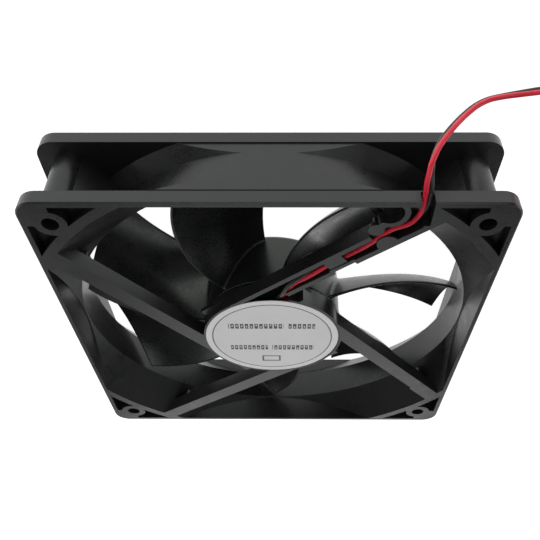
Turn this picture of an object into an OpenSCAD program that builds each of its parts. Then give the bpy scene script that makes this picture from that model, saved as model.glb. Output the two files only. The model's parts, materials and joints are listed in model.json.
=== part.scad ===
// Square axial case fan, 120 x 120 x 25 mm, lying with its intake face down.
// Origin: middle of the intake face, on the spin axis.  +Z: air flow, intake to exhaust.

/* [Frame] */
// Outside width and depth of the square frame
frame_w = 120; // [119:0.5:121]
// Height of the frame along the spin axis
frame_h = 25; // [25:0.5:26]
// Thickness of each corner flange
flange_t = 4; // [3.5:0.1:4.5]
// Outer corner radius of the flanges
corner_r = 5; // [3:0.5:6]
// Wall left between the air opening and the outside of a flange
rim_t = 1.5; // [1.2:0.1:1.8]
// Distance between neighbouring mounting holes
hole_pitch = 105; // [104:0.5:106]
// Diameter of the mounting holes
hole_d = 4.3; // [4:0.1:4.6]
// Diameter of the round corner posts
post_d = 7.7; // [7.2:0.1:8]
// Thickness of the webs that join the posts to the duct
web_t = 8.2; // [8.1:0.1:8.4]
// Chamfer along the outer edges of the flanges
edge_c = 0.4; // [0.2:0.1:0.6]
// Thickness of the closed bottom of the corner pockets
pocket_t = 1; // [0.8:0.1:1.5]

/* [Duct] */
// Inner radius of the duct throat
throat_r = 58.2; // [57.8:0.1:58.4]
// Outer radius of the duct in the middle
duct_r = 60; // [59.6:0.1:60.2]
// Radius gained per millimetre of height in the flared mouths
flare = 1.13; // [1.05:0.01:1.2]
// Height of the lower flare, measured on the outside
intake_flare_h = 7.5; // [7:0.5:8]
// Height of the upper flare, measured on the outside
exhaust_flare_h = 9.5; // [9:0.5:10]

/* [Struts] */
// Direction of the first strut in degrees
strut_angle = -50.3; // [-54:0.1:-46]
// Distance of a strut's middle line from the spin axis
strut_offset = 17.5; // [16.5:0.1:18]
// Width of a plain strut
strut_w = 4.8; // [4:0.1:5]
// Height of a strut
strut_h = 4.2; // [3.8:0.1:4.4]
// Width of the open channel strut that holds the lead
channel_w = 6.9; // [6.8:0.1:7]

/* [Motor base] */
// Outer radius of the motor base
base_r = 20.9; // [20.6:0.1:21.2]
// Radius of the round label
label_r = 20.1; // [19.5:0.1:20.2]
// Thickness of the label
label_t = 0.2; // [0.1:0.05:0.2]

/* [Impeller] */
// Number of blades
blade_n = 7; // [5:1:9]
// Radius of the impeller hub
hub_r = 20.5; // [20:0.1:20.7]
// Radius at the blade tips
tip_r = 56.5; // [54:0.1:57]
// Height of the leading edges above the intake face
lead_z = 3; // [2.5:0.1:4]
// Height of the trailing edges at the hub
trail_z = 17.7; // [16:0.1:18]
// Drop of the trailing edge from hub to tip
trail_drop = 1.8; // [1:0.1:4]
// Angle that a blade covers at the hub in degrees
root_span = 37.5; // [30:0.5:42]
// Backward sweep of the trailing edge at the tip in degrees
trail_sweep = 18; // [10:0.5:20]
// Backward sweep of the leading edge at the tip in degrees
lead_sweep = 9.3; // [5:0.1:12]
// Camber of the blades at the hub, from flat to strongly curved
root_camber = 0.7; // [0.2:0.05:0.9]
// Camber of the blades at the tip
tip_camber = 1.35; // [0.9:0.05:1.4]
// Greatest blade thickness
blade_t = 1.4; // [1:0.1:1.8]

/* [Motor] */
// Diameter of the shaft
shaft_d = 3; // [2.8:0.1:3]
// Outer diameter of the brass bearing tube
tube_d = 8; // [7.8:0.1:8.2]
// Outer radius of the stator
stator_r = 15.8; // [15.4:0.1:15.8]
// Inner radius of the magnet ring
magnet_r = 16.2; // [16.2:0.1:16.6]

/* [Lead] */
// Diameter of one insulated wire
wire_d = 1.3; // [1.2:0.05:1.3]
// Mean radius of the wound-up length
coil_r = 14; // [13.5:0.1:14.5]

/* [Hidden] */
$fn = 96;

lead_w = 2 * wire_d;
hole_at = hole_pitch / 2;
top = frame_h;
strut_z = top - strut_h;
open_w = frame_w - 2 * rim_t;
side_w = frame_w - 0.8;
mouth_r = duct_r + flare * exhaust_flare_h;
inlet_r = duct_r + flare * intake_flare_h;
mouth_in = mouth_r - 2.7;
inlet_in = inlet_r - 2.7;
// Floor of the shallow recess under the label
label_z = top - 0.25;
// Thickness of the channel's floor, and of the tab and pegs over it
floor_t = 1.2;
tab_t = 1.1;
// Rounding of the hub's nose
nose_r = 1.7;

// The lead's way through the motor base and the channel strut
held_route = [
    [-1, -10.8, 19.2], [-1.1, -13.5, 20.2], [-1.6, -16.5, 21.6], [-2.6, -19.4, 22.9],
    [-3.8, -22.6, 23.9], [-5.7, -26.7, 24], [-10.1, -30.9, 23.7], [-14.6, -34.9, 23.2],
    [-18.8, -38.4, 23.1], [-23, -41.9, 23.1], [-25.9, -44.8, 23.2], [-28.2, -47.9, 23.3],
    [-30.8, -49.8, 23.2], [-34.2, -51.3, 23.2], [-36.2, -53.8, 23], [-37.1, -57, 22.8],
    [-37.2, -61, 22.3]
];
// The free lead from the notch down to the surface and to the coil
free_route = [
    [-37.2, -61, 22.3], [-37.1, -63.4, 21.4], [-37.4, -65.5, 19.4], [-38.3, -66.9, 16.6],
    [-39.8, -67.9, 13.8], [-41.8, -68.7, 11], [-44.2, -69.5, 8.2], [-46.8, -70.2, 5.6],
    [-49.6, -70.8, 3.3], [-52.6, -71.4, 1.9], [-56, -72, 1.4], [-60, -72.7, 1.3],
    [-64.4, -73.5, 1.3], [-69, -74.2, 1.3], [-74, -74.8, 1.4], [-79, -75.1, 1.6],
    [-84, -75.3, 1.8], [-90, -75.3, 1.8]
];
// The lead's end from the top of the coil to the connector
tail_route = [
    [-105.3, -60, 4.4], [-105.4, -56.5, 4.4], [-106, -53, 4.1], [-106.8, -50, 3.4],
    [-107.3, -47.6, 2.8], [-107.5, -45, 2.5]
];
coil_at = [-90, -60];
// Height of the turns above the surface, filled by the tie under them
coil_z = 0.5;
plug_at = [-107.5, -38.5, 0];

// ---------- helpers ----------
function unit(v) = v / norm(v);
function clampi(i, n) = max(0, min(n, i));
function along(path, i) =
    unit(path[clampi(i + 1, len(path) - 1)] - path[clampi(i - 1, len(path) - 1)]);
function ring(path, i, w, h, sides) =
    let (t = along(path, i), s = unit(cross(t, [0, 0, 1])), u = cross(s, t))
    [for (k = [0:sides - 1]) let (a = 360 * k / sides + 22.5)
        path[i] + s * (w / 2 * cos(a)) + u * (h / 2 * sin(a))];

// Tube of oval section w x h that follows the points of a path
module sweep(path, w, h, sides = 8) {
    n = len(path);
    pts = [for (i = [0:n - 1]) each ring(path, i, w, h, sides)];
    skin = [for (i = [0:n - 2], k = [0:sides - 1])
        let (a = i * sides + k, b = i * sides + (k + 1) % sides)
        each [[a, a + sides, b], [b, a + sides, b + sides]]];
    start = [for (k = [0:sides - 1]) k];
    end = [for (k = [sides - 1:-1:0]) (n - 1) * sides + k];
    polyhedron(points = pts, faces = concat([start, end], skin), convexity = 6);
}

module tube(r_out, r_in, h) {
    difference() {
        cylinder(r = r_out, h = h);
        translate([0, 0, -1]) cylinder(r = r_in, h = h + 2);
    }
}

module box(x0, y0, z0, x1, y1, z1) {
    translate([x0, y0, z0]) cube([x1 - x0, y1 - y0, z1 - z0]);
}

// ---------- frame ----------
// Square plate with round corners and a chamfer around its upper face
module plate(w, r, h, c) {
    for (x = [-1, 1], y = [-1, 1]) {
        translate([x * (w / 2 - r), y * (w / 2 - r), 0]) {
            cylinder(r = r, h = h - c);
            translate([0, 0, h - c]) cylinder(r1 = r, r2 = r - c, h = c);
        }
    }
    for (a = [0, 90]) {
        rotate([0, 0, a]) rotate([90, 0, 0]) translate([0, 0, r - w / 2]) linear_extrude(w - 2 * r) {
            polygon([
                [-w / 2, 0], [w / 2, 0], [w / 2, h - c],
                [w / 2 - c, h], [c - w / 2, h], [-w / 2, h - c]
            ]);
        }
    }
}

// Hollows beside each screw boss, between the rim, the boss and the duct
module corner_pockets(arc_r) {
    for (x = [-1, 1], y = [-1, 1]) {
        difference() {
            translate([x * 44, y * 44]) square(2 * (frame_w / 2 - 1.7 - 44), center = true);
            circle(r = arc_r);
            translate([x * hole_at, y * hole_at]) circle(r = 4.2);
            translate([x * 61.8, y * 61.8]) square(20, center = true);
        }
    }
}

// Flange with its outer face up and its pockets closed at the bottom
module flange(arc_r) {
    difference() {
        plate(frame_w, corner_r, flange_t, edge_c);
        translate([0, 0, pocket_t]) linear_extrude(flange_t) corner_pockets(arc_r);
    }
}

// Post around each mounting hole, with the web that joins it to the duct
module corner_post() {
    cylinder(d = post_d, h = top - 2);
    rotate([0, 0, 45]) box(-14.5, -web_t / 2, 2.5, -1.5, web_t / 2, top - 4.5);
}

// Solid outline of the duct with both flared mouths, cut off flush at the sides
module duct_outside() {
    intersection() {
        union() {
            cylinder(r = duct_r, h = top);
            cylinder(r1 = inlet_r, r2 = duct_r, h = intake_flare_h);
            translate([0, 0, top - exhaust_flare_h]) {
                cylinder(r1 = duct_r, r2 = mouth_r, h = exhaust_flare_h);
            }
        }
        translate([-side_w / 2, -side_w / 2, 0]) cube([side_w, side_w, top]);
    }
}

// Shallow groove in the duct's flat sides, along the exhaust flange
module side_groove() {
    for (a = [0, 90, 180, 270]) {
        rotate([0, 0, a]) box(side_w / 2 - 0.4, -40, top - flange_t - 0.75, 70, 40, top - flange_t);
    }
}

module duct_inside() {
    in_h = (inlet_in - throat_r) / flare;
    out_h = (mouth_in - throat_r) / flare;
    intersection() {
        union() {
            translate([0, 0, -1]) cylinder(r = throat_r, h = top + 2);
            translate([0, 0, -1]) cylinder(r1 = inlet_in + flare, r2 = throat_r, h = in_h + 1);
            translate([0, 0, top - out_h]) {
                cylinder(r1 = throat_r, r2 = mouth_in + flare, h = out_h + 1);
            }
        }
        translate([-open_w / 2, -open_w / 2, -1]) cube([open_w, open_w, top + 2]);
    }
}

module on_strut(k) {
    rotate([0, 0, strut_angle + 90 * k]) translate([0, strut_offset, 0]) children();
}

// Plain strut with its small gusset on the duct wall.  foot: side of its wider end
module strut(foot) {
    box(-10, -strut_w / 2, strut_z, 67, strut_w / 2, top);
    if (foot != 0) {
        translate([0, foot * 0.65, 0]) box(55.5, -strut_w / 2, strut_z, 67, strut_w / 2, top);
    }
    translate([0, 1.1, 0]) rotate([90, 0, 0]) linear_extrude(1.2) {
        polygon([[57, 21], [57, 18.4], [61, 17.6], [66, 21]]);
    }
    translate([57.3, 0.5, 17.8]) cylinder(r = 1, h = 3.4);
}

// Ledge below the top of a strut
module ledge() {
    box(38, 0, strut_z + floor_t, 52.5, strut_w / 2 + 1.1, strut_z + 3.2);
}

// Strut with an open channel, and a tab and two pegs that hold the lead in it
module channel_strut() {
    half = channel_w / 2;
    box(-10, -half, strut_z, 67, half, strut_z + floor_t);
    // right wall, set back beside the tab so that the lead can be pressed in
    box(18, -half, strut_z, 34, 1.5 - half, top);
    box(33.5, 0.9 - half, strut_z, 41.5, 2.1 - half, top);
    box(41, -half, strut_z, 67, 1.7 - half, top);
    // left wall with the tab
    box(2, half - 1.5, strut_z, 49.5, half, top);
    box(34.2, 2.5 - half, top - tab_t, 39.7, half, top);
    // block that turns the lead to the notch
    translate([0, 0, strut_z]) linear_extrude(strut_h) {
        polygon([
            [52, -3.2], [69, -3.2], [69, 3], [66.6, 2.6],
            [64.2, -0.4], [60.6, -2], [56, -1.6], [52, -1.8]
        ]);
    }
    // floor and round guide on the other side of the lead
    translate([0, 0, strut_z]) linear_extrude(floor_t) {
        polygon([[49, 0], [49, 2.6], [51.2, 4], [54, 4.4], [55.5, 6.2], [58.5, 9.8], [69, 9], [69, 0]]);
    }
    translate([58.1, 7.3, strut_z]) difference() {
        tube(4.7, 3.3, strut_h);
        translate([-5, 1.6, floor_t]) cube([16, 8, 8]);
        translate([-7, -1.9, floor_t]) cube([5, 16, 8]);
    }
    translate([54.4, 5, strut_z]) cylinder(r = 1.1, h = strut_h);
    // left peg beside the lead, right peg over it
    translate([51.9, 3.9, strut_z]) cylinder(r = 0.9, h = strut_h);
    translate([52.2, 4.6, top - tab_t]) cylinder(r = 2, h = tab_t);
    intersection() {
        translate([51.5, -1.6, top - tab_t]) cylinder(r = 2.8, h = tab_t);
        box(48, -half, strut_z, 56, half, top);
    }
}

module motor_base() {
    difference() {
        union() {
            cylinder(r = base_r, h = top);
            for (k = [0:2]) {
                on_strut(k) strut(1 - k);
            }
            on_strut(0) ledge();
            on_strut(3) channel_strut();
        }
        // under the struts and inside the base
        translate([0, 0, -1]) cylinder(r = base_r - 1.6, h = 23.9);
        translate([0, 0, -1]) cylinder(r = 30, h = 20.2);
        // mouth of the channel in the base wall
        on_strut(3) box(6, -5.2, strut_z + floor_t, 18, channel_w / 2 - 1.5, top + 1);
        translate([0, 0, label_z]) cylinder(r = base_r - 0.5, h = 1);
    }
    // boss that holds the bearing tube
    translate([0, 0, 19.4]) cylinder(r = 6, h = 3.6);
}

module frame() {
    color([0.13, 0.13, 0.14]) difference() {
        union() {
            difference() {
                union() {
                    translate([0, 0, flange_t]) mirror([0, 0, 1]) flange(inlet_r);
                    translate([0, 0, top - flange_t]) flange(mouth_r);
                    difference() {
                        duct_outside();
                        side_groove();
                    }
                    for (k = [0:3]) {
                        rotate([0, 0, 90 * k]) translate([hole_at, hole_at, 1]) corner_post();
                    }
                }
                duct_inside();
            }
            intersection() {
                motor_base();
                duct_outside();
            }
        }
        for (x = [-1, 1], y = [-1, 1]) {
            translate([x * hole_at, y * hole_at, -1]) cylinder(d = hole_d, h = top + 2);
        }
        // bore for the bearing tube, open under the label
        translate([0, 0, 15]) cylinder(d = tube_d, h = 12);
        // notch where the lead leaves the frame
        box(-38.8, -62, 21.4, -35.6, -52, top + 1);
    }
}

module label() {
    color([0.85, 0.85, 0.86]) translate([0.2, 0.2, label_z]) cylinder(r = label_r, h = label_t);
}

// ---------- bearing ----------
module bearing_tube() {
    color([0.8, 0.64, 0.3]) translate([0, 0, 7.8]) tube(tube_d / 2, tube_d / 2 - 1, 15.6);
}

module sleeve_bearing() {
    color([0.62, 0.47, 0.3]) translate([0, 0, 9.8]) tube(tube_d / 2 - 1, shaft_d / 2 + 0.03, 7.8);
}

module oil_ring() {
    color([0.25, 0.2, 0.16]) translate([0, 0, 8.1]) tube(tube_d / 2 - 1, shaft_d / 2 + 0.3, 1.1);
}

module thrust_washers() {
    color([0.9, 0.9, 0.85]) {
        translate([0, 0, 9.4]) tube(tube_d / 2 - 1.1, shaft_d / 2 + 0.1, 0.4);
        translate([0, 0, 17.6]) tube(tube_d / 2 - 1.1, shaft_d / 2 + 0.1, 0.4);
    }
}

module oil_cap() {
    color([0.12, 0.12, 0.12]) translate([0, 0, 21.6]) {
        cylinder(r = tube_d / 2 - 1, h = 1.8);
        translate([0, 0, 1.8]) cylinder(r = 2.2, h = 0.4);
    }
}

// ---------- stator ----------
module pole_outline(stem, shoe_in, shoe_out) {
    intersection() {
        union() {
            translate([0, -stem / 2]) square([shoe_in + 0.5, stem]);
            difference() {
                circle(r = shoe_out);
                circle(r = shoe_in);
            }
        }
        polygon([[0, 3.2], [0, -3.2], [6, -5], [13, -10.4], [18, -13.6], [18, 13.6], [13, 10.4], [6, 5]]);
    }
}

module stator_outline(stem, shoe_in, shoe_out, ring_r) {
    difference() {
        union() {
            for (k = [0:3]) {
                rotate(90 * k + 45) pole_outline(stem, shoe_in, shoe_out);
            }
            circle(r = ring_r);
        }
        circle(d = tube_d);
    }
}

module stator_laminations() {
    color([0.55, 0.56, 0.58]) translate([0, 0, 8.4]) linear_extrude(5.2) {
        stator_outline(4, 14, stator_r, 6.4);
    }
}

// Bobbin half with an inner collar and a wall in front of each pole shoe
module insulator() {
    linear_extrude(0.8) stator_outline(5.2, 13.6, 15.2, 7);
    tube(7, 6, 3);
    for (k = [0:3]) {
        rotate([0, 0, 90 * k + 45]) box(12.9, -5.2, 0, 13.7, 5.2, 2.8);
        rotate([0, 0, 90 * k]) box(6, -1.2, 0, 10.6, 1.2, 0.8);
    }
}

module insulator_upper() {
    color([0.9, 0.9, 0.88]) translate([0, 0, 13.6]) difference() {
        insulator();
        for (k = [0:2]) {
            rotate([0, 0, 90 * k]) translate([9.4, 0, 0.2]) cylinder(r = 0.4, h = 3);
        }
    }
}

module insulator_lower() {
    color([0.9, 0.9, 0.88]) translate([0, 0, 8.4]) mirror([0, 0, 1]) insulator();
}

// Winding around one pole: a rounded frame, 5.2 mm long along the pole
module winding(k) {
    color([0.75, 0.4, 0.2]) rotate([0, 0, 90 * k + 45]) translate([7.4, 0, 11]) rotate([90, 0, 90]) {
        linear_extrude(5.2) difference() {
            union() {
                square([9.6, 6.8], center = true);
                square([6.4, 9.6], center = true);
                for (x = [-1, 1], y = [-1, 1]) {
                    translate([x * 3.2, y * 3.2]) circle(r = 1.6);
                }
            }
            square([5.2, 6.8], center = true);
        }
    }
}
module coil_1() { winding(0); }
module coil_2() { winding(1); }
module coil_3() { winding(2); }
module coil_4() { winding(3); }

// ---------- circuit board ----------
board_z = 17.3;
module circuit_board() {
    color([0.1, 0.35, 0.18]) translate([0, 0, board_z]) difference() {
        cylinder(r = 15.4, h = 1);
        translate([0, 0, -1]) cylinder(r = 6.3, h = 3);
        for (k = [0:2]) {
            rotate([0, 0, 90 * k]) translate([9.4, 0, -1]) cylinder(r = 0.45, h = 3);
        }
        translate([12, -20, -1]) cube([8, 9, 3]);
    }
}

// Four-legged switching chip with its face to the magnet ring
module driver_ic() {
    color([0.1, 0.1, 0.1]) rotate([0, 0, -90]) {
        box(13.2, -2.1, 14.5, 14.8, 2.1, 16.6);
    }
    color([0.7, 0.7, 0.7]) rotate([0, 0, -90]) {
        for (k = [-1.5:1:1.5]) {
            box(13.8, k * 1.1 - 0.2, 16.6, 14.2, k * 1.1 + 0.2, board_z);
        }
    }
}

module capacitor() {
    color([0.75, 0.6, 0.4]) rotate([0, 0, 200]) box(9, -0.8, board_z + 1, 12.2, 0.8, board_z + 2.2);
}

module resistors() {
    color([0.08, 0.08, 0.09]) for (a = [60, 80]) {
        rotate([0, 0, a]) box(10, -0.6, board_z + 1, 12, 0.6, board_z + 1.5);
    }
}

module diode() {
    color([0.1, 0.1, 0.1]) rotate([0, 0, 140]) box(9.5, -0.8, board_z + 1, 12.3, 0.8, board_z + 2.1);
}

module terminal_pins() {
    color([0.8, 0.78, 0.7]) for (k = [0:2]) {
        rotate([0, 0, 90 * k]) translate([9.4, 0, 13.8]) cylinder(r = 0.4, h = 5.2);
    }
}

// Solder domes around the three pins and at the two ends of the lead
module solder_joints() {
    color([0.75, 0.76, 0.78]) {
        for (k = [0:2]) {
            rotate([0, 0, 90 * k]) translate([9.4, 0, board_z + 1]) difference() {
                cylinder(r1 = 1, r2 = 0.6, h = 0.7);
                translate([0, 0, -1]) cylinder(r = 0.4, h = 3);
            }
        }
        for (x = [-wire_d / 2, wire_d / 2]) {
            translate([x - 1, -10.8, board_z + 1]) cylinder(r1 = 0.6, r2 = 0.4, h = 0.8);
        }
    }
}

// ---------- rotor ----------
function blade_f(r) = max(0, (r - hub_r) / (tip_r - hub_r));
function trail_a(r) = -46.5 - trail_sweep * pow(blade_f(r), 1.8);
function lead_a(r) = -46.5 - root_span - lead_sweep * pow(blade_f(r), 1.6);
function trail_h(r) = trail_z - trail_drop * blade_f(r);
// Angle, height and thickness of the blade's upper side at radius r and chord fraction u
function chord_a(r, u) = trail_a(r) + (lead_a(r) - trail_a(r)) * u;
function camber(r) = root_camber + (tip_camber - root_camber) * blade_f(r);
function chord_z(r, u) = trail_h(r) + (lead_z - trail_h(r)) * (u + camber(r) * u * (1 - u));
function chord_t(u) = blade_t * (0.5 + 0.5 * sin(180 * pow(u, 0.8)));
function polar(r, a, z) = [r * cos(a), r * sin(a), z];
function upper_pt(r, u) = polar(r, chord_a(r, u), chord_z(r, u));
function lower_pt(r, u) =
    let (
        e = 0.01,
        ds = r * PI / 180 * (chord_a(r, u + e) - chord_a(r, u - e)),
        dz = chord_z(r, u + e) - chord_z(r, u - e),
        l = norm([ds, dz]),
        t = chord_t(u)
    )
    polar(r, chord_a(r, u) - t * dz / l / r * 180 / PI, chord_z(r, u) + t * ds / l);

module blade() {
    nr = 9;
    nu = 10;
    radii = [for (i = [0:nr]) 19.7 + (tip_r - 19.7) * i / nr];
    row = nu + 1;
    side = (nr + 1) * row;
    pts = concat(
        [for (r = radii, j = [0:nu]) upper_pt(r, j / nu)],
        [for (r = radii, j = [0:nu]) lower_pt(r, j / nu)]
    );
    upper = [for (i = [0:nr - 1], j = [0:nu - 1]) let (a = i * row + j)
        each [[a, a + row, a + 1], [a + 1, a + row, a + row + 1]]];
    lower = [for (f = upper) [f[0] + side, f[2] + side, f[1] + side]];
    root = [for (j = [0:nu - 1]) each [[j, j + 1, j + side], [j + 1, j + 1 + side, j + side]]];
    tip = [for (f = root) [f[0] + nr * row, f[2] + nr * row, f[1] + nr * row]];
    trail = [for (i = [0:nr - 1]) let (a = i * row)
        each [[a, a + side, a + row], [a + row, a + side, a + row + side]]];
    front = [for (f = trail) [f[0] + nu, f[2] + nu, f[1] + nu]];
    polyhedron(points = pts, faces = concat(upper, lower, root, tip, trail, front), convexity = 6);
}

module impeller() {
    color([0.1, 0.11, 0.11]) {
        rotate_extrude() polygon(concat(
            [[0, 1]],
            [for (a = [-90:15:0]) [hub_r + nose_r * (cos(a) - 1), 1 + nose_r * (sin(a) + 1)]],
            [[hub_r, 18.4], [19, 18.4], [19, 2.8], [4.6, 2.8], [4.6, 6.8], [2.9, 6.8], [2.9, 2], [0, 2]]
        ));
        for (k = [0:blade_n - 1]) {
            rotate([0, 0, 360 / blade_n * k]) blade();
        }
    }
}

module rotor_yoke() {
    color([0.6, 0.61, 0.63]) translate([0, 0, 2.8]) {
        tube(19, 18, 14.8);
        tube(18.5, 12, 0.8);
    }
}

module rotor_magnet() {
    color([0.22, 0.22, 0.23]) translate([0, 0, 4.6]) tube(18, magnet_r, 12.4);
}

module shaft_bushing() {
    color([0.8, 0.64, 0.3]) translate([0, 0, 2]) tube(2.9, shaft_d / 2, 4.8);
}

module shaft() {
    color([0.82, 0.83, 0.85]) difference() {
        translate([0, 0, 2]) cylinder(d = shaft_d, h = 18.6);
        translate([0, 0, 18.6]) tube(3, 1.1, 0.5);
    }
}

module retaining_clip() {
    color([0.85, 0.85, 0.8]) translate([0, 0, 18.6]) difference() {
        tube(2.6, 1.1, 0.5);
        translate([0, -0.5, -1]) cube([4, 1, 3]);
    }
}

// ---------- lead ----------
module lead_held() {
    color([0.6, 0.05, 0.08]) sweep(held_route, lead_w, wire_d);
}

module lead_free() {
    color([0.8, 0.1, 0.15]) sweep(free_route, lead_w, lead_w);
}

// Section of the wound-up turns, two side by side and two high, grown by g
module turns_section(g) {
    square_w = 2 * lead_w + 2 * g;
    translate([coil_r, coil_z + lead_w]) difference() {
        square([square_w, square_w], center = true);
        for (x = [-1, 1]) {
            translate([x * (square_w / 2), square_w / 2]) rotate(45) square(1, center = true);
        }
    }
}

// Outer shape of the turns
module lead_coil() {
    color([0.8, 0.1, 0.15]) translate([coil_at[0], coil_at[1], 0]) rotate_extrude() turns_section(0);
}

module lead_tail() {
    color([0.8, 0.1, 0.15]) sweep(tail_route, lead_w, lead_w);
}

// Nylon tie around all turns, with its head outside the coil
module lead_tie() {
    color([0.12, 0.12, 0.12]) translate([coil_at[0], coil_at[1], 0]) {
        rotate([0, 0, 90]) translate([0, 1.25, 0]) rotate([90, 0, 0]) linear_extrude(2.5) {
            difference() {
                turns_section(coil_z);
                turns_section(0);
            }
        }
        box(-2, coil_r + lead_w + 0.4, 0.6, 2, coil_r + lead_w + 2.6, 4.6);
    }
}

// ---------- connector ----------
module connector_housing() {
    color([0.9, 0.89, 0.84]) translate(plug_at) difference() {
        union() {
            box(-3, -6.5, 0, 3, 6.5, 4.8);
            box(-2.2, -2, 4.6, 2.2, 6.5, 5.4);
        }
        for (x = [-1.27, 1.27]) {
            box(x - 0.9, -7, 1.6, x + 0.9, 7, 3.4);
        }
        box(-1.6, -3.6, 3.2, 1.6, -1.6, 6);
    }
}

module connector_contacts() {
    color([0.8, 0.72, 0.4]) translate(plug_at) for (x = [-1.27, 1.27]) {
        difference() {
            box(x - 0.9, -4.5, 1.6, x + 0.9, 5.5, 3.4);
            box(x - 0.5, -1, 2, x + 0.5, 6, 3);
            box(x - 1.5, -4.6, 2.6, x + 1.5, -1.4, 4);
        }
    }
}

frame();
label();
bearing_tube();
sleeve_bearing();
oil_ring();
thrust_washers();
oil_cap();
stator_laminations();
insulator_lower();
insulator_upper();
coil_1();
coil_2();
coil_3();
coil_4();
circuit_board();
driver_ic();
capacitor();
resistors();
diode();
terminal_pins();
solder_joints();
impeller();
rotor_yoke();
rotor_magnet();
shaft_bushing();
shaft();
retaining_clip();
lead_held();
lead_free();
lead_coil();
lead_tail();
lead_tie();
connector_housing();
connector_contacts();
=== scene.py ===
import json
import math

import bmesh
import bpy
from mathutils import Matrix, Vector


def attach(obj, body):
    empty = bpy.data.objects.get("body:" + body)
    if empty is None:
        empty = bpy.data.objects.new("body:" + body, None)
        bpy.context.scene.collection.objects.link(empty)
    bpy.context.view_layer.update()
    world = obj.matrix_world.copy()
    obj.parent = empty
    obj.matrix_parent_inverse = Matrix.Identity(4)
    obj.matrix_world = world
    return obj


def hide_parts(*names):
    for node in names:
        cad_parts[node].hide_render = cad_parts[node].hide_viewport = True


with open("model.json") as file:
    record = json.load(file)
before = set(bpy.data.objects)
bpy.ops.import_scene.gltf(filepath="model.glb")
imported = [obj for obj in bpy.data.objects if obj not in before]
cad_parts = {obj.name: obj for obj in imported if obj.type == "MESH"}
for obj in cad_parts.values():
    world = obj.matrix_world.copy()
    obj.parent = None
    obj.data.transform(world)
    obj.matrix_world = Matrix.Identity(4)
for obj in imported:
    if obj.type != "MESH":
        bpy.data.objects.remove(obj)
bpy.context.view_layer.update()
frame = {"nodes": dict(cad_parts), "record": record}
MM = 0.001

# ---------------------------------------------------------------- camera

# The fan lies on its intake face and the camera looks at it upside down, from in front and above.
# Its place and aim are in mm and its roll is in degrees
EYE = Vector((-4.8, -165.7, 123.86)) * MM
AIM = Vector((-3.48, -36.52, 20.0)) * MM
ROLL = 180.42
FOCAL_MM = 41.8
SHIFT = (-0.0251, -0.0368)


def add_camera():
    data = bpy.data.cameras.new("camera")
    data.lens = FOCAL_MM
    data.shift_x, data.shift_y = SHIFT
    data.clip_start, data.clip_end = 0.005, 10
    camera = bpy.data.objects.new("camera", data)
    bpy.context.collection.objects.link(camera)
    look = (AIM - EYE).to_track_quat("-Z", "Y").to_matrix().to_4x4()
    roll = Matrix.Rotation(math.radians(ROLL), 4, "Z")
    camera.matrix_world = Matrix.Translation(EYE) @ look @ roll
    bpy.context.scene.camera = camera


# ---------------------------------------------------------------- materials


class Shade:
    """A material's node tree, with a short way to add and join nodes. The functions below call it s."""

    def __init__(self, name, color=(0.8, 0.8, 0.8), roughness=0.5, metallic=0.0, **sockets):
        self.mat = bpy.data.materials.new(name)
        self.mat.use_nodes = True
        self.tree = self.mat.node_tree
        self.bsdf = self.tree.nodes["Principled BSDF"]
        self.bsdf.inputs["Base Color"].default_value = (*color, 1)
        self.bsdf.inputs["Roughness"].default_value = roughness
        self.bsdf.inputs["Metallic"].default_value = metallic
        for socket, value in sockets.items():
            self.bsdf.inputs[socket.replace("_", " ")].default_value = value
        self.place = self.node("ShaderNodeTexCoord").outputs["Object"]

    def node(self, kind, inputs=None, **fields):
        made = self.tree.nodes.new(kind)
        for field, value in fields.items():
            setattr(made, field, value)
        for socket, value in (inputs or {}).items():
            self.put(made.inputs[socket], value)
        return made

    def put(self, socket, value):
        if isinstance(value, bpy.types.NodeSocket):
            self.tree.links.new(value, socket)
        else:
            socket.default_value = value

    def into(self, name, value):
        """Sets or joins a socket of the shader itself."""
        self.put(self.bsdf.inputs[name], value)

    def math(self, operation, *values):
        made = self.node("ShaderNodeMath", operation=operation)
        for i, value in enumerate(values):
            self.put(made.inputs[i], value)
        return made.outputs[0]

    def stretched(self, scale):
        """Object coordinates scaled along each axis."""
        made = self.node("ShaderNodeMapping", {"Vector": self.place, "Scale": scale})
        return made.outputs[0]

    def noise(self, size, detail=2.0, rough=0.5, place=None):
        """Noise whose grains are about size metres across, from 0 to 1."""
        inputs = {
            "Vector": place or self.place,
            "Scale": 1 / size,
            "Detail": detail,
            "Roughness": rough,
        }
        return self.node("ShaderNodeTexNoise", inputs).outputs["Fac"]

    def span(self, value, low, high, start=0.0, end=1.0):
        """low where value is start or less, high where it is end or more, and even in between."""
        inputs = {"Value": value, "From Min": start, "From Max": end, "To Min": low, "To Max": high}
        return self.node("ShaderNodeMapRange", inputs).outputs[0]

    def blend(self, factor, one, other):
        """The colour one where factor is 0, and other where it is 1."""
        made = self.node("ShaderNodeMix", data_type="RGBA")
        self.put(made.inputs["Factor"], factor)
        colours = [s for s in made.inputs if s.type == "RGBA"]
        for socket, colour in zip(colours, (one, other)):
            self.put(socket, (*colour, 1) if isinstance(colour, tuple) else colour)
        return next(s for s in made.outputs if s.type == "RGBA")

    def bump(self, height, strength, distance, under=None):
        inputs = {"Height": height, "Strength": strength, "Distance": distance}
        if under is not None:
            inputs["Normal"] = under
        return self.node("ShaderNodeBump", inputs).outputs[0]


# Sizes of surface detail in metres: moulding flow, handling marks, and how high flow and grain stand
FLOW_SIZE = 0.03
MARK_SIZE = 0.004
FLOW_HEIGHT = 0.0004
GRAIN_HEIGHT = 0.00004


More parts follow.
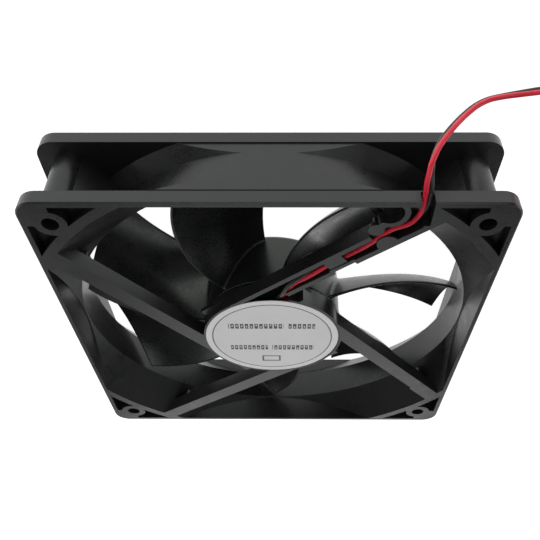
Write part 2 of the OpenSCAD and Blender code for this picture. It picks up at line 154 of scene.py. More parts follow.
def moulded_plastic(
    name, dark, light, rough, grain, depth, gloss=0.5, waves=0.25, tint=(1, 1, 1)
):
    """Moulded thermoplastic: spark-eroded grain, faint flow marks and handling marks."""
    s = Shade(name, dark, Specular_IOR_Level=gloss, Specular_Tint=(*tint, 1))
    flow = s.noise(FLOW_SIZE, 3, 0.6, s.stretched((1, 1, 0.35)))
    fine = s.noise(grain, 3, 0.6)
    marks = s.noise(MARK_SIZE, 4, 0.7)
    s.into("Base Color", s.blend(s.span(flow, 0, 1, 0.3, 0.7), dark, light))
    worn = s.math("ADD", s.span(marks, -0.05, 0.05, 0.3, 0.7), s.span(flow, -0.03, 0.03))
    s.into("Roughness", s.math("ADD", worn, s.span(fine, rough - 0.05, rough + 0.05, 0.3, 0.7)))
    broad = s.bump(flow, waves, FLOW_HEIGHT)
    s.into("Normal", s.bump(fine, depth, GRAIN_HEIGHT, broad))
    return s.mat


def wire_insulation(name, dark, light, rough):
    """Extruded soft vinyl with a fine grain and faint finger marks."""
    s = Shade(name, light, Specular_IOR_Level=0.5)
    cloud = s.noise(0.006, 3)
    fine = s.noise(0.0004, 2)
    s.into("Base Color", s.blend(s.span(cloud, 0, 1, 0.35, 0.65), dark, light))
    s.into("Roughness", s.span(cloud, rough - 0.06, rough + 0.1))
    s.into("Normal", s.bump(fine, 0.25, 0.00003))
    return s.mat


def metal(name, color, tint, rough, grain, stretch=(1, 1, 1), depth=0.2):
    """Bare metal with tool lines: stretch draws them out, and depth is how strongly they show."""
    s = Shade(name, color, rough, 1.0)
    place = s.stretched(stretch)
    lines = s.noise(grain, 3, 0.6, place)
    cloud = s.noise(0.005, 3)
    s.into("Base Color", s.blend(s.span(cloud, 0, 1, 0.35, 0.65), color, tint))
    s.into("Roughness", s.span(lines, rough - 0.08, rough + 0.1))
    s.into("Normal", s.bump(lines, depth, 0.00003))
    return s.mat


def nylon(name, color, tint):
    """Unpainted nylon, a little translucent."""
    s = Shade(name, color, 0.42, Subsurface_Weight=0.15, Subsurface_Scale=0.001)
    cloud = s.noise(0.003, 3)
    fine = s.noise(0.0003, 2)
    s.into("Base Color", s.blend(cloud, color, tint))
    s.into("Roughness", s.span(cloud, 0.35, 0.5))
    s.into("Normal", s.bump(fine, 0.2, 0.00002))
    return s.mat


def windings(name):
    """Enamelled copper wire, with its turns as fine diagonal bands."""
    s = Shade(name, (0.7, 0.27, 0.1), 0.3, 0.9, Coat_Weight=0.4)
    wave = s.node("ShaderNodeTexWave", {"Vector": s.place, "Scale": 900.0, "Distortion": 1.5})
    wave.bands_direction = "DIAGONAL"
    tone = s.blend(s.noise(0.002), (0.55, 0.18, 0.06), (0.78, 0.33, 0.13))
    s.into("Base Color", tone)
    s.into("Normal", s.bump(wave.outputs["Fac"], 0.7, 0.0001))
    return s.mat


def circuit_green(name):
    """Green solder mask with copper tracks showing through as paler rings."""
    s = Shade(name, (0.02, 0.16, 0.07), 0.3, Coat_Weight=0.3)
    inputs = {"Vector": s.place, "Scale": 260.0}
    rings = s.node("ShaderNodeTexWave", inputs, wave_type="RINGS", rings_direction="Z")
    tracks = s.span(rings.outputs["Fac"], 0, 1, 0.62, 0.7)
    s.into("Base Color", s.blend(tracks, (0.015, 0.12, 0.05), (0.03, 0.24, 0.1)))
    s.into("Roughness", s.span(s.noise(0.002), 0.22, 0.4))
    s.into("Normal", s.bump(tracks, 0.5, 0.00004))
    return s.mat


def felt(name):
    """Oil-soaked wool felt."""
    s = Shade(name, (0.16, 0.11, 0.07), 0.9)
    fibre = s.noise(0.0003, 4, 0.8)
    s.into("Base Color", s.blend(fibre, (0.1, 0.07, 0.04), (0.24, 0.17, 0.11)))
    s.into("Normal", s.bump(fibre, 0.8, 0.0002))
    return s.mat


# The label in mm: its middle, and the dark ring near its edge
LABEL_AT = (0.2, 0.2)
RING_R = 18.05
RING_HALF_W = 0.17
# Its two rows of blocks, from its middle: y, half width, pitch, x of the gap between words
LABEL_ROWS = ((-6.8, 12.9, 1.43, -4.3), (5.5, 12.9, 1.36, 0.7))
BLOCK_HALF_H = 1.3
# Half width of a block, and of the slot in it, as shares of the pitch
BLOCK_SHARE = 0.36
SLOT_SHARE = 0.13
SLOT_HALF_H = 0.4
SLOT_SHIFT = 0.6
# The blocks are counted from a line this many metres beside the label
COUNT_FROM = 1.0
# The small empty frame below the rows: its middle, and half its width and height outside and inside
FRAME_AT = (0.4, 12.3)
FRAME_HALVES = ((2.9, 1.7), (2.4, 1.2))
INK = (0.05, 0.05, 0.055)
FILM_DARK = (0.88, 0.88, 0.885)
FILM_LIGHT = (0.93, 0.93, 0.935)
FILM_RIM = (0.98, 0.98, 0.98)


def printed_film(name):
    """Silver-grey film with a dark ring, two rows of plain blocks and an empty frame: no letters."""
    s = Shade(name, (0.6, 0.6, 0.6), 0.5)
    axes = s.node("ShaderNodeSeparateXYZ", {"Vector": s.place})
    x = s.math("SUBTRACT", axes.outputs["X"], LABEL_AT[0] * MM)
    y = s.math("SUBTRACT", axes.outputs["Y"], LABEL_AT[1] * MM)
    radius = s.math("SQRT", s.math("ADD", s.math("MULTIPLY", x, x), s.math("MULTIPLY", y, y)))

    def near(value, middle, half):
        return s.math("LESS_THAN", s.math("ABSOLUTE", s.math("SUBTRACT", value, middle)), half)

    def both(one, other):
        return s.math("MULTIPLY", one, other)

    ink = near(radius, RING_R * MM, RING_HALF_W * MM)
    for row_y, half_w, pitch, gap_x in LABEL_ROWS:
        cells = s.math("DIVIDE", s.math("ADD", x, COUNT_FROM), pitch * MM)
        across = s.math("FRACT", cells)
        in_row = both(near(y, row_y * MM, BLOCK_HALF_H * MM), near(x, 0.0, half_w * MM))
        block = both(in_row, near(across, 0.5, BLOCK_SHARE))
        block = s.math("SUBTRACT", block, both(block, near(x, gap_x * MM, pitch * 0.5 * MM)))
        cell = s.math("FLOOR", cells)
        seed = s.node("ShaderNodeTexWhiteNoise", {"W": cell}, noise_dimensions="1D")
        shift = s.span(seed.outputs["Value"], -SLOT_SHIFT * MM, SLOT_SHIFT * MM)
        in_slot = near(s.math("SUBTRACT", y, shift), row_y * MM, SLOT_HALF_H * MM)
        slot = both(near(across, 0.5, SLOT_SHARE), in_slot)
        ink = s.math("MAXIMUM", ink, s.math("SUBTRACT", block, both(block, slot)))
    x_off, y_off = (s.math("SUBTRACT", v, at * MM) for v, at in zip((x, y), FRAME_AT))
    outer, inner = (
        both(near(x_off, 0.0, half_w * MM), near(y_off, 0.0, half_h * MM))
        for half_w, half_h in FRAME_HALVES
    )
    ink = s.math("MAXIMUM", ink, s.math("SUBTRACT", outer, inner))
    grain = s.noise(0.0005, 3, 0.7)
    cloud = s.noise(0.012, 2)
    film = s.blend(s.span(cloud, 0, 1, 0.3, 0.7), FILM_DARK, FILM_LIGHT)
    film = s.blend(s.math("GREATER_THAN", radius, RING_R * MM), film, FILM_RIM)
    s.into("Base Color", s.blend(ink, film, INK))
    s.into("Roughness", s.span(grain, 0.3, 0.42))
    s.into("Normal", s.bump(grain, 0.2, 0.00003))
    return s.mat


# How tool lines are drawn out: along the Z axis, or across it like the edges of stacked sheets
ALONG_Z = (1, 1, 0.05)
LAYERED = (0.02, 0.02, 1)
# Each slot's maker and what it is given. Grain sizes are in metres
RECIPES = {
    "frame_plastic": (moulded_plastic, {
        "dark": (0.009, 0.009, 0.0092),
        "light": (0.012, 0.012, 0.0122),
        "rough": 0.33,
        "grain": 0.0005,
        "depth": 0.22,
        "gloss": 0.55,
        "waves": 0.15,
        "tint": (0.96, 1, 0.98),
    }),
    "impeller_plastic": (moulded_plastic, {
        "dark": (0.004, 0.005, 0.0043),
        "light": (0.006, 0.0075, 0.0064),
        "rough": 0.3,
        "grain": 0.0007,
        "depth": 0.08,
        "gloss": 0.65,
        "waves": 0.08,
        "tint": (0.94, 1, 0.95),
    }),
    "label_foil": (printed_film, {}),
    "brass": (metal, {
        "color": (0.72, 0.5, 0.2),
        "tint": (0.62, 0.42, 0.16),
        "rough": 0.28,
        "grain": 0.0004,
        "stretch": ALONG_Z,
    }),
    "bronze": (metal, {
        "color": (0.42, 0.26, 0.13),
        "tint": (0.3, 0.18, 0.09),
        "rough": 0.5,
        "grain": 0.0002,
        "depth": 0.6,
    }),
    "felt": (felt, {}),
    "nylon_white": (nylon, {"color": (0.78, 0.77, 0.7), "tint": (0.7, 0.69, 0.61)}),
    "cap_rubber": (moulded_plastic, {
        "dark": (0.02, 0.02, 0.02),
        "light": (0.03, 0.03, 0.03),
        "rough": 0.7,
        "grain": 0.0004,
        "depth": 0.4,
    }),
    "lamination_steel": (metal, {
        "color": (0.4, 0.41, 0.43),
        "tint": (0.3, 0.31, 0.33),
        "rough": 0.38,
        "grain": 0.0009,
        "stretch": LAYERED,
        "depth": 0.8,
    }),
    "copper_wire": (windings, {}),
    "board_green": (circuit_green, {}),
    "chip_black": (moulded_plastic, {
        "dark": (0.015, 0.015, 0.015),
        "light": (0.025, 0.025, 0.025),
        "rough": 0.55,
        "grain": 0.0002,
        "depth": 0.4,
    }),
    "ceramic_tan": (moulded_plastic, {
        "dark": (0.4, 0.27, 0.14),
        "light": (0.5, 0.35, 0.2),
        "rough": 0.4,
        "grain": 0.0003,
        "depth": 0.3,
    }),
    "tin": (metal, {
        "color": (0.7, 0.7, 0.68),
        "tint": (0.6, 0.6, 0.58),
        "rough": 0.25,
        "grain": 0.0006,
        "depth": 0.4,
    }),
    "yoke_steel": (metal, {
        "color": (0.52, 0.53, 0.55),
        "tint": (0.45, 0.46, 0.48),
        "rough": 0.3,
        "grain": 0.0006,
        "stretch": ALONG_Z,
    }),
    "magnet": (moulded_plastic, {
        "dark": (0.03, 0.03, 0.033),
        "light": (0.05, 0.05, 0.053),
        "rough": 0.6,
        "grain": 0.0003,
        "depth": 0.4,
    }),
    "shaft_steel": (metal, {
        "color": (0.75, 0.76, 0.78),
        "tint": (0.75, 0.76, 0.78),
        "rough": 0.12,
        "grain": 0.0006,
        "stretch": ALONG_Z,
        "depth": 0.05,
    }),
    "wire_red": (wire_insulation, {
        "dark": (0.72, 0.012, 0.035),
        "light": (0.86, 0.026, 0.06),
        "rough": 0.33,
    }),
    "wire_black": (wire_insulation, {
        "dark": (0.014, 0.018, 0.015),
        "light": (0.028, 0.034, 0.029),
        "rough": 0.36,
    }),
    "tie_black": (moulded_plastic, {
        "dark": (0.02, 0.02, 0.02),
        "light": (0.03, 0.03, 0.03),
        "rough": 0.45,
        "grain": 0.0004,
        "depth": 0.3,
    }),
    "connector_nylon": (nylon, {"color": (0.8, 0.79, 0.72), "tint": (0.74, 0.72, 0.63)}),
}


def make_materials():
    """Every material by the name of its slot."""
    return {slot: maker(slot, **given) for slot, (maker, given) in RECIPES.items()}


# ---------------------------------------------------------------- mesh helpers


# Rounding of CAD edges: segments, the angle that counts as an edge, and the angle shaded as one
ROUND_SEGMENTS = 2
EDGE_DEGREES = 38
SMOOTH_DEGREES = 30
# CAD nodes whose sharp edges are rounded: node, its material slot, radius in mm
ROUNDED = (
    ("frame", "frame_plastic", 0.18),
    ("connector_housing", "connector_nylon", 0.15),
    ("lead_tie", "tie_black", 0.12),
)


def add_object(name, mesh, body, slot, *mats):
    made = bpy.data.objects.new(name, mesh)
    bpy.context.collection.objects.link(made)
    for mat in mats:
        mesh.materials.append(mat)
    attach(made, body)
    return made


def smooth_by_angle(mesh, degrees):
    mesh.polygons.foreach_set("use_smooth", [True] * len(mesh.polygons))
    mesh.set_sharp_from_angle(angle=math.radians(degrees))


def mesh_from(name, points, faces, degrees, weld):
    """A mesh with its doubled points welded, and smooth where faces meet at less than degrees."""
    mesh = bpy.data.meshes.new(name)
    mesh.from_pydata([tuple(p) for p in points], [], faces)
    work = bmesh.new()
    work.from_mesh(mesh)
    bmesh.ops.remove_doubles(work, verts=work.verts, dist=weld)
    bmesh.ops.recalc_face_normals(work, faces=work.faces)
    work.to_mesh(mesh)
    work.free()
    smooth_by_angle(mesh, degrees)
    return mesh


def rounded_copy(node, body, slot, mat, radius):
    """A CAD node again with its sharp edges rounded, as a mould leaves them."""
    work = bmesh.new()
    work.from_mesh(frame["nodes"][node].data)
    bmesh.ops.remove_doubles(work, verts=work.verts, dist=1e-6)
    flat = math.radians(1.0)
    bmesh.ops.dissolve_limit(work, angle_limit=flat, verts=work.verts, edges=work.edges)
    mesh = bpy.data.meshes.new(node + "_rounded")
    work.to_mesh(mesh)
    work.free()
    mesh.materials.clear()
    made = add_object(node + "_rounded", mesh, body, slot, mat)
    bevel = made.modifiers.new("edges", "BEVEL")
    bevel.width = radius
    bevel.segments = ROUND_SEGMENTS
    bevel.limit_method = "ANGLE"
    bevel.angle_limit = math.radians(EDGE_DEGREES)
    bevel.use_clamp_overlap = True
    bevel.miter_outer = "MITER_ARC"
    even = made.modifiers.new("normals", "WEIGHTED_NORMAL")
    even.keep_sharp = True
    even.weight = 100
    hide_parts(node)
    smooth_by_angle(mesh, SMOOTH_DEGREES)
    return made


# ---------------------------------------------------------------- lead

# Diameter of a wire in mm, and the pitch of a layer of turns, which is both wires side by side
WIRE_D = 1.3
PITCH = 2 * WIRE_D
WIRE_SIDES = 14
# The wires spread to the pitch of the contacts over the last points of the lead
CONTACT_PITCH = 2.54
SPREAD_POINTS = 14
LINE_STEP = 0.8
# The coil in mm: its mean radius, its middle and the height of its first layer, then its turns
COIL_R = 14.0
COIL_AT = Vector((-90, -60, 0))
COIL_LOW = 1.8
COIL_TURNS = 3.25
POINTS_PER_TURN = 48
# The turns between which the lead crosses to the inner ring, climbs, and crosses back
CROSS_IN = (0.72, 0.9)
CLIMB = (1.58, 1.8)
CROSS_OUT = (2.5, 2.72)

# The points of part.scad, except that the lying stretch is up to 0.05 mm higher, clear of the floor
HELD_ROUTE = [
    (-1, -10.8, 19.2), (-1.1, -13.5, 20.2), (-1.6, -16.5, 21.6), (-2.6, -19.4, 22.9),
    (-3.8, -22.6, 23.9), (-5.7, -26.7, 24), (-10.1, -30.9, 23.7), (-14.6, -34.9, 23.2),
    (-18.8, -38.4, 23.1), (-23, -41.9, 23.1), (-25.9, -44.8, 23.2), (-28.2, -47.9, 23.3),
    (-30.8, -49.8, 23.2), (-34.2, -51.3, 23.2), (-36.2, -53.8, 23), (-37.1, -57, 22.8),
    (-37.2, -61, 22.3),
]
FREE_ROUTE = [
    (-37.2, -61, 22.3), (-37.1, -63.4, 21.4), (-37.4, -65.5, 19.4), (-38.3, -66.9, 16.6),
    (-39.8, -67.9, 13.8), (-41.8, -68.7, 11), (-44.2, -69.5, 8.2), (-46.8, -70.2, 5.6),
    (-49.6, -70.8, 3.3), (-52.6, -71.4, 1.9), (-56, -72, 1.45), (-60, -72.7, 1.33),
    (-64.4, -73.5, 1.33), (-69, -74.2, 1.33), (-74, -74.8, 1.4), (-79, -75.1, 1.6),
    (-84, -75.3, 1.8), (-90, -75.3, 1.8),
]
TAIL_ROUTE = [
    (-105.3, -60, 4.4), (-105.4, -56.5, 4.4), (-106, -53, 4.1), (-106.8, -50, 3.4),
    (-107.3, -47.6, 2.8), (-107.5, -45, 2.5),
]


def ease(value, start, end):
    """0 before start, 1 after end, and a smooth step between them."""
    t = min(max((value - start) / (end - start), 0.0), 1.0)
    return t * t * (3 - 2 * t)


def coil_route():
    """The wound-up turns: one outside, one inside it, then a layer on top, clockwise."""
    points = []
    for i in range(int(COIL_TURNS * POINTS_PER_TURN) + 1):
        turn = i / POINTS_PER_TURN
        angle = math.radians(-90 - 360 * turn)
        side = 1 - 2 * ease(turn, *CROSS_IN) + 2 * ease(turn, *CROSS_OUT)
        radius = COIL_R + side * WIRE_D
        height = COIL_LOW + PITCH * ease(turn, *CLIMB)
        out = Vector((radius * math.cos(angle), radius * math.sin(angle), height))
        points.append(COIL_AT + out)
    return points


def smooth_line(route):
    """Points about LINE_STEP apart on a centripetal Catmull-Rom curve through the route's points."""
    knots = [Vector(p) for p in route]
    knots = [2 * knots[0] - knots[1]] + knots + [2 * knots[-1] - knots[-2]]
    line = []
    for a, b, c, d in zip(knots, knots[1:], knots[2:], knots[3:]):
        t1 = math.sqrt((b - a).length)
        t2 = t1 + math.sqrt((c - b).length)
        t3 = t2 + math.sqrt((d - c).length)
        count = max(2, round((c - b).length / LINE_STEP))
        for i in range(count):
            t = t1 + (t2 - t1) * i / count
            ab = a.lerp(b, t / t1)
            bc = b.lerp(c, (t - t1) / (t2 - t1))
            cd = c.lerp(d, (t - t2) / (t3 - t2))
            abc = ab.lerp(bc, t / t2)
            bcd = bc.lerp(cd, (t - t1) / (t3 - t1))
            line.append(abc.lerp(bcd, (t - t1) / (t2 - t1)))
    line.append(knots[-2])
    return line


def turned(line, keys):
    """The direction from the red wire to the black one at each point of the line.

    keys are pairs of a place on the line and the direction there.
    """
    places = []
    for at, way in keys:
        nearest = min(range(len(line)), key=lambda i: (line[i] - Vector(at)).length)
        places.append((nearest, Vector(way)))
    ways = []
    for i in range(len(line)):
        along = (line[min(i + 1, len(line) - 1)] - line[max(i - 1, 0)]).normalized()
        before = max((p for p in places if p[0] <= i), key=lambda p: p[0], default=places[0])
        after = min((p for p in places if p[0] >= i), key=lambda p: p[0], default=places[-1])
        share = 0 if after[0] == before[0] else ease(i, before[0], after[0])
        way = before[1].lerp(after[1], share)
        if way.length < 1e-6:
            way = before[1]
        ways.append((way - along * way.dot(along)).normalized())
    return ways


def twin_wire(name, line, ways, gaps, mats):
    """Two insulated wires along a line, as one mesh: the first red, the second black.

    gaps are the distances between their middles, which is WIRE_D where they touch.
    """
    sides = WIRE_SIDES
    radius = WIRE_D / 2
    points, faces, colours = [], [], []
    for wire, sign in enumerate((-1, 1)):
        base = len(points)
        for i, middle in enumerate(line):
            along = (line[min(i + 1, len(line) - 1)] - line[max(i - 1, 0)]).normalized()
            out = ways[i]
            up = along.cross(out)
            centre = middle + out * (sign * gaps[i] / 2)
            for k in range(sides):
                a = 2 * math.pi * k / sides
                points.append((centre + (out * math.cos(a) + up * math.sin(a)) * radius) * MM)
        for i in range(len(line) - 1):
            for k in range(sides):
                a, b = base + i * sides + k, base + i * sides + (k + 1) % sides
                faces.append((a, b, b + sides, a + sides))
                colours.append(wire)
        faces.append(tuple(base + k for k in reversed(range(sides))))
        faces.append(tuple(base + (len(line) - 1) * sides + k for k in range(sides)))
        colours += [wire, wire]
    mesh = bpy.data.meshes.new(name)
    mesh.from_pydata([tuple(p) for p in points], [], faces)
    mesh.polygons.foreach_set("material_index", colours)
    smooth_by_angle(mesh, degrees=50)
    return add_object(name, mesh, "housing", "wire_red", *mats)


def make_lead(mats):
    """The held and the free stretch. Returns the free one, its route and its length in metres."""
    wires = (mats["wire_red"], mats["wire_black"])
    held = smooth_line(HELD_ROUTE)
    held_ways = turned(held, [
        ((-1, -10.8, 19.2), (1, 0, 0)),
        ((-4, -23, 23.9), (1, 0.3, 0.4)),
        ((-18.8, -38.4, 23.1), (0.3, -0.5, -0.8)),
        ((-28.2, -47.9, 23.3), (0, 0, -1)),
        ((-34.2, -51.3, 23.2), (-0.5, 0.2, -0.85)),
        ((-37.2, -61, 22.3), (-1, 0.1, -0.2)),
    ])
    inside = twin_wire("lead_inside", held, held_ways, [WIRE_D] * len(held), wires)
    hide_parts("lead_held")

    free = smooth_line(FREE_ROUTE)
    turns = coil_route()
    tail = smooth_line(TAIL_ROUTE)
    line = free + turns[1:] + tail[1:]
    keys = [
        ((-37.2, -61, 22.3), (-1, 0.1, -0.2)),
        ((-37.4, -65.5, 19.4), (-0.45, 0.8, -0.3)),
        ((-38.3, -66.9, 16.6), (0, 0.78, -0.63)),
        ((-41.8, -68.7, 11), (0.22, 0.6, -0.76)),
        ((-52.6, -71.4, 1.9), (0.1, 0.55, -0.83)),
        ((-66, -73.8, 1.3), (0, 0.13, -0.99)),
    ]
    ways = turned(free, keys + [((-90, -75.3, 1.8), (0, 0.71, -0.71))])
    for i in range(1, len(turns)):
        inward = COIL_AT - turns[i]
        inward.z = 0
        ways.append((inward.normalized() + Vector((0, 0, -1))).normalized())
    tail_keys = [((-105.3, -60, 4.4), (0.71, 0, -0.71)), ((-107.5, -45, 2.5), (1, 0, 0))]
    ways += turned(tail, tail_keys)[1:]
    gaps = [WIRE_D] * len(line)
    for k in range(SPREAD_POINTS):
        gaps[-1 - k] = CONTACT_PITCH + (WIRE_D - CONTACT_PITCH) * ease(k, 0, SPREAD_POINTS)
    lead = twin_wire("lead_outside", line, ways, gaps, wires)
    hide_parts("lead_free", "lead_coil", "lead_tail")
    path = [tuple(p * MM) for p in line]
    length = sum((Vector(b) - Vector(a)).length for a, b in zip(path, path[1:]))
    return lead, path, length


# ---------------------------------------------------------------- impeller

# The blades in mm and degrees. Each one starts inside the hub's wall, at ROOT_R
BLADES = 7
HUB_R = 20.5
TIP_R = 56.5
ROOT_R = 19.8
LEAD_Z = 3.0
TRAIL_Z = 17.7
TRAIL_DROP = 1.8
TRAIL_AT = -46.5
ROOT_SPAN = 37.5
# How far each edge sweeps from hub to tip, and the power it grows by
TRAIL_SWEEP = 18
TRAIL_POWER = 1.8
LEAD_SWEEP = 9.3
LEAD_POWER = 1.6
ROOT_CAMBER = 0.7
TIP_CAMBER = 1.35
BLADE_T = 1.4
FILLET = 0.9
TIP_ROUND = 0.35
# Shares of the thickness: at the edges, and at the tip's face
EDGE_SHARE = 0.5
TIP_SHARE = 0.6
# A step along the chord that is small enough to measure its slope
SLOPE_STEP = 0.005
# Steps along the chord and towards the tip. The rings are mm from the hub's wall: those of the
# fillet, then the one that the steps towards the tip start from
CHORD_STEPS = 44
SPAN_STEPS = 34
FILLET_RINGS = (-0.05, 0.08, 0.25, 0.5, 0.9)
FIRST_RING = 1.6


def blade_point(r, u, side):
    """A point of the blade, r from the axis and u from trailing to leading edge, 0 to 1.

    side is 1 on the upper skin and -1 on the lower one.
    """
    f = max(0.0, (r - HUB_R) / (TIP_R - HUB_R))
    trail_a = TRAIL_AT - TRAIL_SWEEP * f ** TRAIL_POWER
    lead_a = TRAIL_AT - ROOT_SPAN - LEAD_SWEEP * f ** LEAD_POWER
    trail_z = TRAIL_Z - TRAIL_DROP * f
    camber = ROOT_CAMBER + (TIP_CAMBER - ROOT_CAMBER) * f

    def skin(v):
        angle = math.radians(trail_a + (lead_a - trail_a) * v)
        return r * angle, trail_z + (LEAD_Z - trail_z) * (v + camber * v * (1 - v))

    s0, z0 = skin(u)
    s1, z1 = skin(u + SLOPE_STEP)
    s2, z2 = skin(u - SLOPE_STEP)
    ds, dz = s1 - s2, z1 - z2
    run = math.hypot(ds, dz)
    chord = math.hypot(r * math.radians(lead_a - trail_a), trail_z - LEAD_Z)
    swell = math.sin(math.pi * min(max(u, 0.0), 1.0) ** 0.8)
    thick = BLADE_T * (EDGE_SHARE + (1 - EDGE_SHARE) * swell)
    end = min(u, 1 - u) * chord / (thick / 2)
    rounding = 1.0 if end >= 1 else math.sqrt(max(0.0, 1 - (1 - end) ** 2))
    tip = (TIP_R - r) / TIP_ROUND
    if tip < 1:
        arc = math.sqrt(max(0.0, 1 - (1 - tip) ** 2))
        rounding *= TIP_SHARE + (1 - TIP_SHARE) * arc
    grow = 0.0
    if r - HUB_R < FILLET:
        x = FILLET - max(0.0, r - HUB_R)
        grow = FILLET - math.sqrt(max(0.0, FILLET ** 2 - x ** 2))
    # the middle of the blade lies half a thickness below its upper skin
    away_from_edges = rounding > 0.99
    half = thick / 2 * rounding + grow * (1 if away_from_edges else rounding)
    off = -thick / 2 + side * half
    s = s0 + off * dz / run
    z = z0 - off * ds / run
    return Vector((r * math.cos(s / r), r * math.sin(s / r), z)) * MM


def crowded(count, start, end, both_ends):
    """count + 1 values from start to end, crowded towards the end, or towards both ends."""
    values = []
    for i in range(count + 1):
        t = i / count
        if both_ends:
            t = (1 - math.cos(math.pi * t)) / 2
        else:
            t = math.sin(math.pi * t / 2)
        values.append(start + (end - start) * t)
    return values


def blade_mesh_data():
    """Points and faces of one blade: rows of points along the chord, upper skin first."""
    chord = crowded(CHORD_STEPS, 0.0, 1.0, both_ends=True)
    radii = [ROOT_R] + [HUB_R + ring for ring in FILLET_RINGS]
    radii += crowded(SPAN_STEPS, HUB_R + FIRST_RING, TIP_R, both_ends=False)
    columns = len(chord)
    points, faces = [], []
    for side in (1, -1):
        for r in radii:
            points += [blade_point(r, u, side) for u in chord]
    under = len(radii) * columns
    for i in range(len(radii) - 1):
        for j in range(columns - 1):
            a = i * columns + j
            faces.append((a, a + columns, a + columns + 1, a + 1))
            b = a + under
            faces.append((b, b + 1, b + columns + 1, b + columns))
    for i in (0, len(radii) - 1):
        for j in range(columns - 1):
            a = i * columns + j
            faces.append((a, a + 1, a + 1 + under, a + under))
    return points, faces


# The hub in mm: its closed face and open rim, the roundings of both, and its inside. The face has
# one ring of points at FACE_RING_R
FACE_Z = 1
FACE_RING_R = 14.0
FACE_ROUND = 1.7
FACE_STEPS = 8
RIM_Z = 18.4
RIM_ROUND = 0.35
RIM_STEPS = 4
WALL_R = 19.0
HUB_FLOOR_Z = 2.8
BOSS_R, BOSS_Z = 4.6, 6.8
BORE_R, BORE_Z = 2.9, 2.0
HUB_SEGMENTS = 160


def hub_profile():
    """Half section of the hub, as pairs of radius and height."""
    outer = [(0.0, FACE_Z), (FACE_RING_R, FACE_Z)]
    for k in range(FACE_STEPS + 1):
        a = math.radians(-90 + 90 * k / FACE_STEPS)
        r = HUB_R + FACE_ROUND * (math.cos(a) - 1)
        outer.append((r, FACE_Z + FACE_ROUND * (math.sin(a) + 1)))
    for k in range(RIM_STEPS + 1):
        a = math.radians(90 * k / RIM_STEPS)
        r = HUB_R - RIM_ROUND + RIM_ROUND * math.cos(a)
        outer.append((r, RIM_Z - RIM_ROUND + RIM_ROUND * math.sin(a)))
    inner = [(WALL_R, RIM_Z), (WALL_R, HUB_FLOOR_Z), (BOSS_R, HUB_FLOOR_Z), (BOSS_R, BOSS_Z)]
    inner += [(BORE_R, BOSS_Z), (BORE_R, BORE_Z), (0.0, BORE_Z)]
    return outer + inner


def revolved(profile, segments):
    """Points and faces of a profile turned once around Z."""
    points, faces = [], []
    count = len(profile)
    for k in range(segments):
        a = 2 * math.pi * k / segments
        points += [Vector((r * math.cos(a), r * math.sin(a), z)) * MM for r, z in profile]
    for k in range(segments):
        here, there = k * count, (k + 1) % segments * count
        for i in range(count - 1):
            faces.append((here + i, there + i, there + i + 1, here + i + 1))
    return points, faces


def make_impeller(mat):
    """The hub with its blades, as one moulding."""
    points, faces = revolved(hub_profile(), HUB_SEGMENTS)
    blade, blade_faces = blade_mesh_data()
    for k in range(BLADES):
        turn = Matrix.Rotation(2 * math.pi * k / BLADES, 3, "Z")
        base = len(points)
        points += [turn @ p for p in blade]
        faces += [tuple(base + i for i in face) for face in blade_faces]
    mesh = mesh_from("impeller_moulding", points, faces, degrees=40, weld=1e-6)
    made = add_object("impeller_moulding", mesh, "rotor", "impeller_plastic", mat)
    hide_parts("impeller")
    return made


# ---------------------------------------------------------------- CAD nodes and studio

# The floor in metres: half its width, and its height just under the part
FLOOR_HALF = 6.0
FLOOR_Z = -0.0001
# Brightness of the floor's glow, and of the room as the object sees it
FLOOR_GLOW = 0.95
ROOM_LEVEL = 0.02
# The softboxes in metres: their distance, size, and the point that they face
LIGHT_REACH = 1.25
SOFTBOX_SIZE = (0.75, 0.55)
LIGHT_AIM = (0, 0, 0.01)
# Each softbox: its direction seen from above and its elevation in degrees, and its brightness
SOFTBOXES = {
    "left": (0, 20, 1.4),
    "back_left": (45, 20, 1.5),
    "back": (90, 20, 1.4),
    "back_right": (135, 20, 1.2),
    "right": (180, 20, 2.0),
    "front": (270, 20, 0.6),
    "front_left": (315, 20, 1.1),
    "left_high": (0, 50, 0.2),
    "back_high": (90, 50, 0.95),
    "right_high": (180, 50, 0.3),
    "front_right_high": (225, 50, 0.6),
    "front_high": (270, 50, 1.4),
    "overhead": (0, 90, 0.15),
}


def finish_cad_nodes(mats):
    """Every CAD node gets the material of its slot in the record."""
    for part in frame["record"]["subparts"]:
        node = frame["nodes"][part["node"]]
        node.data.materials.clear()
        node.data.materials.append(mats[part["material_slot"]])


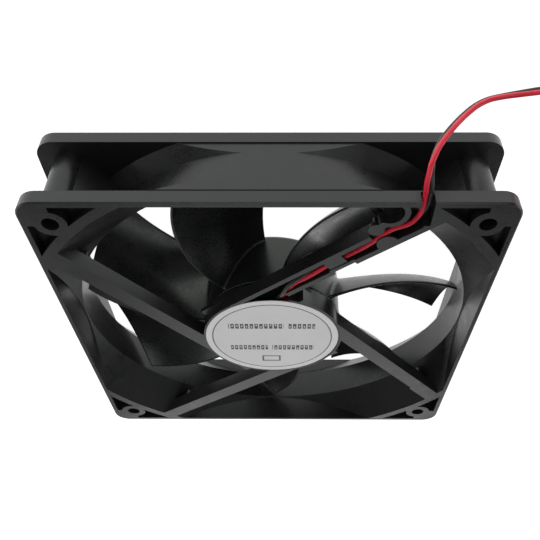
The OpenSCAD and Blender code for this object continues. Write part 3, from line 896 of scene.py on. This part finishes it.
def add_floor():
    """A light table: white paper that also glows."""
    mesh = bpy.data.meshes.new("floor")
    half = FLOOR_HALF
    corners = [(-half, -half, 0), (half, -half, 0), (half, half, 0), (-half, half, 0)]
    mesh.from_pydata(corners, [], [(0, 1, 2, 3)])
    floor = bpy.data.objects.new("floor", mesh)
    bpy.context.collection.objects.link(floor)
    s = Shade("floor_paper", (0.8, 0.8, 0.8), 1.0, Specular_IOR_Level=0.0)
    s.into("Base Color", s.blend(s.noise(0.05, 2), (0.78, 0.78, 0.78), (0.8, 0.8, 0.8)))
    s.bsdf.inputs["Emission Color"].default_value = (1, 1, 1, 1)
    s.bsdf.inputs["Emission Strength"].default_value = FLOOR_GLOW
    mesh.materials.append(s.mat)
    floor.location.z = FLOOR_Z


def add_light(name, place, radiance):
    """A rectangular softbox whose face is as bright as radiance."""
    data = bpy.data.lights.new(name, "AREA")
    data.shape = "RECTANGLE"
    width, height = SOFTBOX_SIZE
    data.size, data.size_y = width, height
    data.energy = radiance * math.pi * width * height
    light = bpy.data.objects.new(name, data)
    bpy.context.collection.objects.link(light)
    way = (Vector(LIGHT_AIM) - Vector(place)).to_track_quat("-Z", "Y").to_matrix().to_4x4()
    light.matrix_world = Matrix.Translation(place) @ way


def add_world():
    """White behind the object, and a dim room around it for light and reflections."""
    world = bpy.data.worlds.new("studio")
    bpy.context.scene.world = world
    world.use_nodes = True
    tree = world.node_tree
    background = tree.nodes["Background"]
    background.inputs["Color"].default_value = (1, 1, 1, 1)
    rays = tree.nodes.new("ShaderNodeLightPath")
    level = tree.nodes.new("ShaderNodeMapRange")
    level.inputs["To Min"].default_value = ROOM_LEVEL
    level.inputs["To Max"].default_value = 1.0
    tree.links.new(rays.outputs["Is Camera Ray"], level.inputs["Value"])
    tree.links.new(level.outputs[0], background.inputs["Strength"])


def add_lights():
    add_world()
    for name, (azimuth, elevation, radiance) in SOFTBOXES.items():
        turn, rise = math.radians(azimuth), math.radians(elevation)
        flat = LIGHT_REACH * math.cos(rise)
        place = (flat * math.cos(turn), flat * math.sin(turn), LIGHT_REACH * math.sin(rise))
        add_light(name, place, radiance)
    bpy.context.scene.view_settings.view_transform = "Standard"


# ---------------------------------------------------------------- scene

add_camera()
materials = make_materials()
finish_cad_nodes(materials)
lead, lead_path, lead_length = make_lead(materials)
rounded = {
    node: rounded_copy(node, "housing", slot, materials[slot], radius * MM)
    for node, slot, radius in ROUNDED
}
make_impeller(materials["impeller_plastic"])
add_floor()
add_lights()
